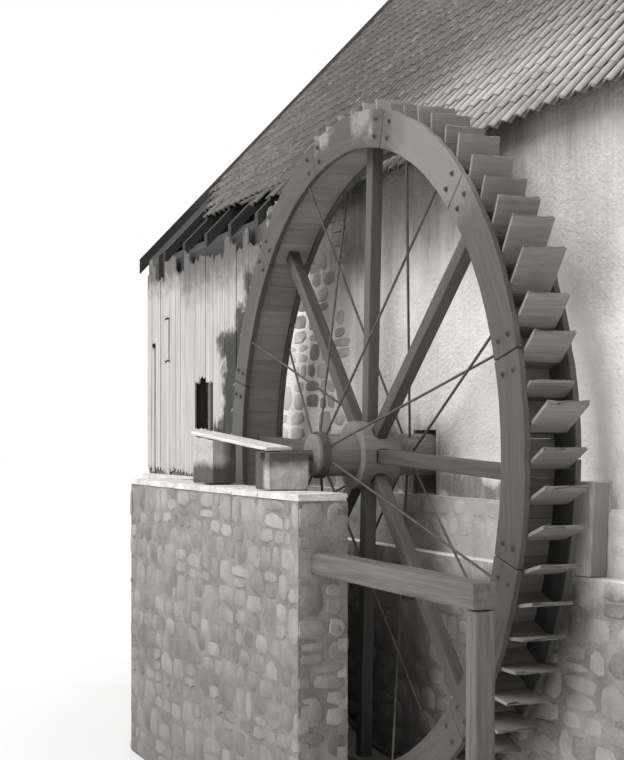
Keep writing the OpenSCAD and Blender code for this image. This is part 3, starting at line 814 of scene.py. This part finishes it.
# Ridge tiles
# Half round clay tiles of the same clay as the pantiles, laid in a row over the tops of both slopes;
# each one tapers towards the near end, where it goes under the next.
RIDGE_TILES = 38
RIDGE_R = 0.15
RIDGE_LAP = 0.05
RIDGE_T = 0.018
NARROW_END, WIDE_END = RIDGE_R - 0.016, RIDGE_R - 0.002
ridge_low, ridge_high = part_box("ridge_tiles")
ridge_centre = ridge_high.z - RIDGE_R
ridge_step = (ridge_high.x - ridge_low.x) / RIDGE_TILES
ridge_tile = begin(
    "ridge_tile", bpy.ops.mesh.primitive_cylinder_add, vertices=28, radius=1, depth=1,
    end_fill_type="NOTHING", rotation=(0, math.radians(90), 0),
)
bpy.ops.object.transform_apply(location=False, rotation=True, scale=False)
bpy.ops.object.mode_set(mode="EDIT")
bpy.ops.mesh.select_all(action="SELECT")
bpy.ops.mesh.bisect(plane_co=(0, 0, -0.6), plane_no=(0, 0, 1), clear_inner=True)
bpy.ops.object.mode_set(mode="OBJECT")
for corner in ridge_tile.data.vertices:
    radius = NARROW_END if corner.co.x > 0 else WIDE_END
    corner.co = (corner.co.x * (ridge_step + RIDGE_LAP), corner.co.y * radius, corner.co.z * radius)
shape(ridge_tile, "SOLIDIFY", thickness=RIDGE_T, offset=-1)
rng = random.Random(27)
ridge_places = []
end_room = (ridge_step + RIDGE_LAP) / 2 + 0.003
for k in range(RIDGE_TILES):
    x = min(ridge_low.x + (k + 0.5) * ridge_step, ridge_high.x - end_room)
    x = max(x, ridge_low.x + end_room)
    y = ridge_y + rng.uniform(-0.004, 0.004)
    place = Matrix.Translation((x, y, ridge_centre - rng.uniform(0.001, 0.006)))
    ridge_places.append(place @ Matrix.Rotation(rng.uniform(-0.012, 0.012), 4, UP))
lay(
    "half_round_ridge_tiles", [ridge_tile], ridge_places, tile_finish, 28,
    replaces=["ridge_tiles"],
)

# Back door
# A door of upright planks in a timber frame, under a stone lintel, with two iron strap hinges.
# Its planks are grey and dry, and it stays shut.
PLANKS = 6
PLANK_GAP = 0.006
door_low, door_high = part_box("back_door")
door_size, door_middle = door_high - door_low, (door_low + door_high) / 2
plank_w = door_size.x / PLANKS
door_planks = [
    sized(
        (door_low.x + (k + 0.5) * plank_w, door_middle.y, door_middle.z),
        (plank_w - PLANK_GAP, door_size.y, door_size.z),
    )
    for k in range(PLANKS)
]
plank_finish = sawn(
    "door_planks", (26, 26, 0.9), 5.0, grey(0.12, 0.10), grey(0.34, 0.08), 0.004, roughness=0.8
)
door_plank = block("door_plank", cuts=1, edge=0.03)
lay("door_planks", [door_plank], door_planks, plank_finish, 31, replaces=["back_door"])

rust_finish, tree, shader, spot = finish("rusted_iron", 0.75)
face = use(tree, mottle, Vector=spot, Broad=12.0, Fine=90.0)
shader.inputs["Metallic"].default_value = 0.35
paint(tree, shader, blend(tree, face, grey(0.035, 0.06), grey(0.13, 0.16)), face, 0.002)
STRAP = (0.72, 0.012, 0.05)
STRAP_HEIGHTS = (0.35, 1.55)
STRAP_IN = 0.03
straps = [
    sized((door_low.x + STRAP[0] / 2 + STRAP_IN, door_high.y + STRAP[1] / 2, door_low.z + height), STRAP)
    for height in STRAP_HEIGHTS
]
lay("strap_hinges", [block("strap", cuts=1, edge=0.05)], straps, rust_finish, 32)
coat(timber_finish, "door_frame")

# Walls of the wheel pit and their coping
# Rubble walls in lime mortar, topped with long flat slabs that are pale and worn uneven. The mortar
# of the outer wall is set back, so that its stones end where the solid does.
pit_low, pit_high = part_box("pit_wall")
end_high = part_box("pit_end_wall")[1]
beam_low, beam_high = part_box("pit_beam")
beam_hole = (beam_low.y - pit_low.y - 0.03, beam_high.y - pit_low.y + 0.03, beam_low.z, beam_high.z)
pit_face_y, pit_near_x = pit_low.y + STONE_PROUD, pit_high.x - STONE_PROUD
pit_stones = []
for seed, x, y, along, length, holes in (
    (8, pit_low.x, pit_face_y, NEAR, pit_high.x - pit_low.x, []),
    (9, pit_near_x, pit_face_y, BACK, pit_high.y - pit_low.y - STONE_PROUD, [beam_hole]),
    (10, pit_high.x, pit_high.y, -NEAR, pit_high.x - end_high.x, []),
    (14, pit_low.x, front_y, -BACK, front_y - pit_low.y, []),
    (15, end_high.x, pit_high.y, BACK, end_high.y - pit_high.y, []),
):
    pit_stones += rubble_face((x, y, 0), along, length, pit_high.z, seed, holes=holes)
core_low, core_high = Vector((pit_low.x, pit_face_y, 0)), Vector((pit_near_x, pit_high.y, pit_high.z))
core_place = sized((core_low + core_high) / 2, core_high - core_low)
lay(
    "pit_wall_mortar", [block("pit_core")], [core_place], mortar_finish, 34,
    replaces=["pit_wall"],
)
lay("pit_wall_stones", field_stones, pit_stones, stone_finish, 33)
coat(mortar_finish, "pit_end_wall")

slab_finish, tree, shader, spot = finish("worn_slabs", 0.9)
face = use(tree, mottle, Vector=spot, Broad=4.0, Fine=45.0)
paint(tree, shader, blend(tree, face, grey(0.40), grey(0.84)), face, 0.01)
coat(slab_finish, "door_lintel")
slab_patterns = []
for variant in range(3):
    rng = random.Random(70 + variant)
    slab = block(f"coping_slab_{variant}", cuts=3)
    for corner in slab.data.vertices:
        corner.co.x += rng.uniform(-0.01, 0.01)
        corner.co.y *= 1 - rng.uniform(0, 0.05)
        corner.co.z -= rng.uniform(0, 0.12) if corner.co.z > 0.4 else 0
    shape(slab, "BEVEL", width=0.012, segments=1, limit_method="ANGLE")
    slab_patterns.append(slab)
SLAB_LEAST, SLAB_MOST, LAST_SLAB = 0.55, 0.95, 0.3
SLAB_GAP = 0.008
coping_low, coping_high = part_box("pit_coping")
coping_size, coping_middle = coping_high - coping_low, (coping_low + coping_high) / 2
rng = random.Random(35)
slabs, left = [], coping_low.x
while left < coping_high.x - 0.05:
    right = left + rng.uniform(SLAB_LEAST, SLAB_MOST)
    if coping_high.x - right < LAST_SLAB:
        right = coping_high.x
    middle = ((left + right) / 2, coping_middle.y, coping_middle.z)
    slabs.append(sized(middle, (right - left - SLAB_GAP, coping_size.y, coping_size.z)))
    left = right
end_coping_low, end_coping_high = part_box("pit_end_coping")
slabs.append(sized((end_coping_low + end_coping_high) / 2, end_coping_high - end_coping_low))
lay(
    "coping_slabs", slab_patterns, slabs, slab_finish, 36,
    replaces=["pit_coping", "pit_end_coping"],
)


# Bearing, plank and prop on the pit wall, beam and posts beside it
# Cut stones with worn faces, a bleached plank, and timbers that have stood in the weather for years.
# The bearing and the prop carry painted shade in places, and the stump carries painted shade on its side
# towards the near end.
def weather(name, node, grid, depth, material, along=(0, 0, 1), body="house"):
    """Wears a plain solid: its copy gets a fine skin, rounded edges and an uneven face."""
    made = bpy.data.objects.new(name, nodes[node].data.copy())
    scene.collection.objects.link(made)
    take_hold(made)
    bpy.ops.object.mode_set(mode="EDIT")
    bpy.ops.mesh.select_all(action="SELECT")
    bpy.ops.mesh.remove_doubles(threshold=0.0001)
    bpy.ops.object.mode_set(mode="OBJECT")
    shape(made, "REMESH", mode="VOXEL", voxel_size=grid)
    shape(made, "SMOOTH", factor=0.5, iterations=2)
    low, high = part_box(node)
    along = Vector(along)
    for corner in made.data.vertices:
        flat = corner.co - along * corner.co.dot(along) * 0.8
        inward = noise.noise(flat * 6) * 0.5 + noise.noise(flat * 17) * 0.3 + 0.35
        corner.co -= corner.normal * depth * max(0.0, inward)
        corner.co = Vector(min(max(c, a), b) for c, a, b in zip(corner.co, low, high))
    spin = along.rotation_difference(UP)
    keep_spots(made.data, [tuple(spin @ v.co) for v in made.data.vertices])
    set_in(made, material, 35, body, [node])


def shade_near_side(tree, spot, colour):
    """Paints shade on the sides of a timber that face the near end."""
    return blend(tree, times(tree, facing(tree, 0), 0.95), colour, grey(0.20))


stump_finish = sawn("bleached_timber", (30, 30, 1.2), 5.0, grey(0.40), grey(0.80), 0.008, marks=shade_near_side)
bleached_finish = sawn("bleached_plank", (30, 30, 1.2), 5.0, grey(0.42), grey(0.88), 0.008)
# Painted shade on the bearing and the prop: rows of low corner, high corner, soft edge, strength and tone.
CUT_STONE_SHADE = (
    ((-0.4, -2, 3.21), (0.4, 0, 3.6), 0.09, 0.95, 0.06),
    ((-0.4, -2, 2.9), (0.10, 0, 3.6), 0.09, 0.95, 0.06),
    ((-2.3, -2, 2.9), (-1.3, 0, 3.29), 0.09, 0.95, 0.06),
    ((-1.60, -1.41, 2.9), (-1.3, 0, 3.6), 0.09, 0.95, 0.06),
)
cut_stone_finish, tree, shader, spot = finish("stone_with_painted_shade", 0.9)
face = use(tree, mottle, Vector=spot, Broad=6.0, Fine=45.0)
cut_stone = blend(tree, face, grey(0.26), grey(0.60))
paint(tree, shader, stained_and_shaded(tree, spot, cut_stone, CUT_STONE_SHADE, 0.03, 5.0), face, 0.01)
weather("worn_bearing", "outer_bearing", 0.012, 0.012, cut_stone_finish)
weather("worn_prop", "prop_block", 0.02, 0.02, cut_stone_finish)
weather("worn_plank", "bearing_plank", 0.009, 0.008, bleached_finish, NEAR)
weather("worn_stump", "wall_post", 0.016, 0.016, stump_finish)
weather("worn_beam", "pit_beam", 0.016, 0.012, timber_finish, NEAR)
weather("worn_post", "guard_post", 0.016, 0.012, timber_finish)
coat(timber_finish, "inner_bearing")

# Axle, boss, arms and stay rods
# A round oak axle with iron hoops and gudgeons, a boss with a mortise for each arm, eight plain arms,
# and crossed iron rods that stay the rings; all of it is dark with water, slime and rust.
MOSS = (
    ((0.8, -3, 5.0), (2.6, 2, 6.7), 0.4, 0.6, 0.24),
    ((-0.7, -3, 6.1), (-0.3, 2, 6.7), 0.12, 0.7, 0.34),
    ((0.1, -3, 6.05), (0.6, 2, 6.7), 0.12, 0.6, 0.34),
)


def mossy(tree, spot, colour):
    """Lays the pale moss and lime of the wheel's top and upper right over a colour."""
    return stained_and_shaded(tree, spot, colour, MOSS, 0.15, 4.0)


oak_finish = sawn("wet_oak", (22, 22, 1.4), 6.0, grey(0.036), grey(0.105), 0.006, 0.6, 0.3, mossy)
slimed_finish = sawn("slimed_boards", (22, 22, 1.4), 6.0, grey(0.12), grey(0.30), 0.006, 0.7, 0.4, mossy)
coat(rust_finish, "axle_hoops", "gudgeons", "stay_rods")
weather("worn_axle", "axle", 0.016, 0.010, slimed_finish, BACK, "wheel")
weather("worn_boss", "hub_boss", 0.014, 0.008, slimed_finish, BACK, "wheel")

hub = Vector(frame["joints"][0]["pos_m"])
ARMS = 8
ARM_W, ARM_T = 0.12, 0.11
ARM_FOOT, ARM_END = 0.24, 2.69
ARM_TURN = math.radians(-2.5)
ARM_WEAR = 0.05
arm_pattern = block("arm", (ARM_W, ARM_T, ARM_END - ARM_FOOT), cuts=5)
rng = random.Random(44)
for corner in arm_pattern.data.vertices:
    corner.co.x *= 1 - rng.uniform(0.0, ARM_WEAR)
    corner.co.y *= 1 - rng.uniform(0.0, ARM_WEAR)
shape(arm_pattern, "BEVEL", width=0.008, segments=2, limit_method="ANGLE", angle_limit=math.radians(45))


def about_axle(angle, reach, y, lead=0.0):
    """A place on the wheel whose Z points away from the axle and whose Y lies along it."""
    turn = Matrix.Rotation(math.pi / 2 - angle, 4, BACK)
    return Matrix.Translation((hub.x, y, hub.z)) @ turn @ Matrix.Translation((-lead, 0, reach))


arm_places = [
    about_axle(ARM_TURN + k * math.tau / ARMS, (ARM_FOOT + ARM_END) / 2, hub.y) for k in range(ARMS)
]
lay("oak_arms", [arm_pattern], arm_places, oak_finish, 45, "wheel", ["arms"])

# Rings of the wheel
# Each shroud is sawn from oak planks in twelve felloes, butted end to end and bolted at the joints.
# Its outer edge is worn, and the joints of the two rings are staggered.
FELLOES = 12
RING_DEPTH = 0.33
BUTT_GAP = 0.0016
OUTER_WEAR, INNER_WEAR = 0.018, 0.006
front_low, front_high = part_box("front_shroud")
rear_low, rear_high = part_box("back_shroud")
RING_OUT = front_high.x
RING_IN = RING_OUT - RING_DEPTH
felloe_patterns = []
for variant in range(3):
    rng = random.Random(80 + variant)
    felloe = begin(
        f"felloe_{variant}", bpy.ops.mesh.primitive_grid_add, x_subdivisions=14, y_subdivisions=4, size=1
    )
    half = math.pi / FELLOES - BUTT_GAP
    for corner in felloe.data.vertices:
        angle, share = corner.co.x * 2 * half, corner.co.y + 0.5
        radius = RING_IN + share * (RING_OUT - RING_IN)
        if share > 0.99:
            radius -= rng.uniform(0, OUTER_WEAR)
        if share < 0.01:
            radius += rng.uniform(0, INNER_WEAR)
        corner.co = (radius * math.sin(angle), 0, radius * math.cos(angle))
    shape(felloe, "SOLIDIFY", thickness=front_high.y - front_low.y, offset=0)
    shape(felloe, "BEVEL", width=0.005, segments=1, limit_method="ANGLE", angle_limit=math.radians(50))
    keep_spots(felloe.data, [(v.co.z, v.co.y, v.co.x) for v in felloe.data.vertices])
    felloe_patterns.append(felloe)
for name, node, y, shift in (
    ("front_felloes", "front_shroud", (front_low.y + front_high.y) / 2, 0.0),
    ("back_felloes", "back_shroud", (rear_low.y + rear_high.y) / 2, 0.5),
):
    places = [about_axle((k + shift) * math.tau / FELLOES, 0, y) for k in range(FELLOES)]
    lay(name, felloe_patterns, places, oak_finish, 46, "wheel", [node])

WASHER_R, WASHER_T = 0.022, 0.006
BOLT_INSET, BOLT_HEIGHT = 0.009, 0.014
BOLT_ASIDE = 0.045
BOLT_SHARES = (0.3, 0.72)
bolt = begin(
    "ring_bolt", bpy.ops.mesh.primitive_cylinder_add, vertices=12, radius=WASHER_R, depth=WASHER_T,
    rotation=(math.radians(90), 0, 0),
)
bpy.ops.object.transform_apply(location=False, rotation=True, scale=False)
bpy.ops.object.mode_set(mode="EDIT")
bpy.ops.mesh.select_all(action="DESELECT")
bpy.ops.object.mode_set(mode="OBJECT")
for polygon in bolt.data.polygons:
    polygon.select = polygon.normal.y < -0.9
bpy.ops.object.mode_set(mode="EDIT")
bpy.ops.mesh.inset(thickness=BOLT_INSET)
bpy.ops.mesh.extrude_region_move(TRANSFORM_OT_translate={"value": (0, -BOLT_HEIGHT, 0)})
bpy.ops.object.mode_set(mode="OBJECT")
bolts = []
for k in range(FELLOES):
    joint = (k + 0.5) * math.tau / FELLOES
    for side in (-BOLT_ASIDE, BOLT_ASIDE):
        for share in BOLT_SHARES:
            reach = RING_IN + share * (RING_OUT - RING_IN)
            bolts.append(about_axle(joint + side, reach, front_low.y - WASHER_T / 2))
lay("ring_bolts", [bolt], bolts, rust_finish, 47, "wheel")

# Sole and buckets
# Narrow oak boards close the inside of the buckets, and each bucket has a bottom board on the sole
# and a leaning front board; the lips are worn short at the wheel's top and left long low down.
SOLE_BOARDS = 60
SOLE_T, SOLE_SET_IN = 0.028, 0.003
SOLE_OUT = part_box("sole")[1].x
bucket_y = (front_high.y + rear_low.y) / 2
bucket_w = rear_low.y - front_high.y - 0.002
sole_board_w = math.tau * SOLE_OUT / SOLE_BOARDS - 0.004
sole_board = block("sole_board", (sole_board_w, bucket_w, SOLE_T), cuts=1, edge=0.003)
keep_spots(sole_board.data, [(v.co.x, v.co.z, v.co.y) for v in sole_board.data.vertices])
sole_places = [
    about_axle(k * math.tau / SOLE_BOARDS, SOLE_OUT - SOLE_T / 2 - SOLE_SET_IN, bucket_y)
    for k in range(SOLE_BOARDS)
]
lay("sole_boards", [sole_board], sole_places, slimed_finish, 48, "wheel", ["sole"])

BUCKETS = 72
BUCKET_TURN = math.radians(-1.4)
BUCKET_T = 0.024
ELBOW = RING_OUT - 0.09
LEAN = math.radians(30.5)
LIP_SHORT, LIP_LONG = 0.09, 0.20
SHORT_TO_DEG, LONG_FROM_DEG = 25, 60
WORN_LIPS = {6: 0.24, 5: 0.25, 3: 0.15, 2: 0.04, 1: 0.22}
bucket_boards = []
for variant in range(4):
    rng = random.Random(90 + variant)
    bucket_board = block(f"bucket_board_{variant}", cuts=3)
    for corner in bucket_board.data.vertices:
        if corner.co.z > 0.49:
            corner.co.z -= rng.uniform(0, 0.10)
        corner.co.x += rng.uniform(-0.12, 0.12) if abs(corner.co.x) < 0.4 else 0
    keep_spots(bucket_board.data, [(v.co.x, v.co.z, v.co.y) for v in bucket_board.data.vertices])
    bucket_boards.append(bucket_board)


def lip_reach(k, rng):
    """How far a bucket's lip stands beyond the ring: short near the top, long elsewhere, or as worn."""
    from_top = abs((k * 360 / BUCKETS - 90 + 180) % 360 - 180)
    long_share = (from_top - SHORT_TO_DEG) / (LONG_FROM_DEG - SHORT_TO_DEG)
    long_share = min(1.0, max(0.0, long_share))
    reach = LIP_SHORT + (LIP_LONG - LIP_SHORT) * long_share + rng.uniform(-0.05, 0.03)
    return WORN_LIPS.get(k, reach)


rng = random.Random(49)
bucket_places = []
for k in range(BUCKETS):
    angle = k * math.tau / BUCKETS + BUCKET_TURN
    bottom = about_axle(angle, (ELBOW + SOLE_OUT) / 2, bucket_y, BUCKET_T / 2)
    bucket_places.append(bottom @ sized((0, 0, 0), (BUCKET_T, bucket_w, ELBOW - SOLE_OUT)))
    lip = (RING_OUT - ELBOW + lip_reach(k, rng)) / math.cos(LEAN)
    lip_size = (BUCKET_T, bucket_w - rng.uniform(0, 0.03), lip)
    elbow = about_axle(angle, ELBOW, bucket_y, BUCKET_T / 2) @ Matrix.Rotation(-LEAN, 4, BACK)
    bucket_places.append(elbow @ sized((0, 0, lip / 2), lip_size))
lay(
    "bucket_boards", bucket_boards, bucket_places, slimed_finish, 50, "wheel",
    ["buckets"],
)

# The patterns have all been laid, and go
for pattern in [o for o in scene.objects if o.type == "MESH" and body_of(o) is None]:
    bpy.data.objects.remove(pattern)

# Studio
# A plain pale floor, an even pale sky, and one broad soft lamp that stands high in front of the
# wheel's side.
floor = begin("floor", bpy.ops.mesh.primitive_plane_add, size=400, location=(0, 0, -0.002))
floor_finish, tree, shader, spot = finish("pale_floor", 0.95)
shader.inputs["Base Color"].default_value = (0.8, 0.8, 0.8, 1)
floor.data.materials.append(floor_finish)

SKY_STRENGTH = 0.80
SUN_STRENGTH = 2.45
SUN_FROM = Vector((0.02, -0.74, 0.67))
sky = bpy.data.worlds.new("sky")
scene.world = sky
sky.use_nodes = True
tree = sky.node_tree
background = tree.nodes["Background"]
background.inputs["Color"].default_value = (1, 1, 1, 1)
path = put(tree, "LightPath").outputs
seen = combine(tree, "MAXIMUM", path["Is Camera Ray"], path["Is Glossy Ray"], clamp=False)
seen = combine(tree, "MAXIMUM", seen, path["Is Transmission Ray"], clamp=False)
tree.links.new(ramp(tree, seen, 0.0, 1.0, SKY_STRENGTH, 1.0), background.inputs["Strength"])
sun = bpy.data.lights.new("soft_sun", "SUN")
sun.energy = SUN_STRENGTH
sun.angle = math.radians(40)
lamp = bpy.data.objects.new("soft_sun", sun)
scene.collection.objects.link(lamp)
lamp.rotation_euler = SUN_FROM.to_track_quat("Z", "Y").to_euler()
scene.view_settings.view_transform = "Standard"
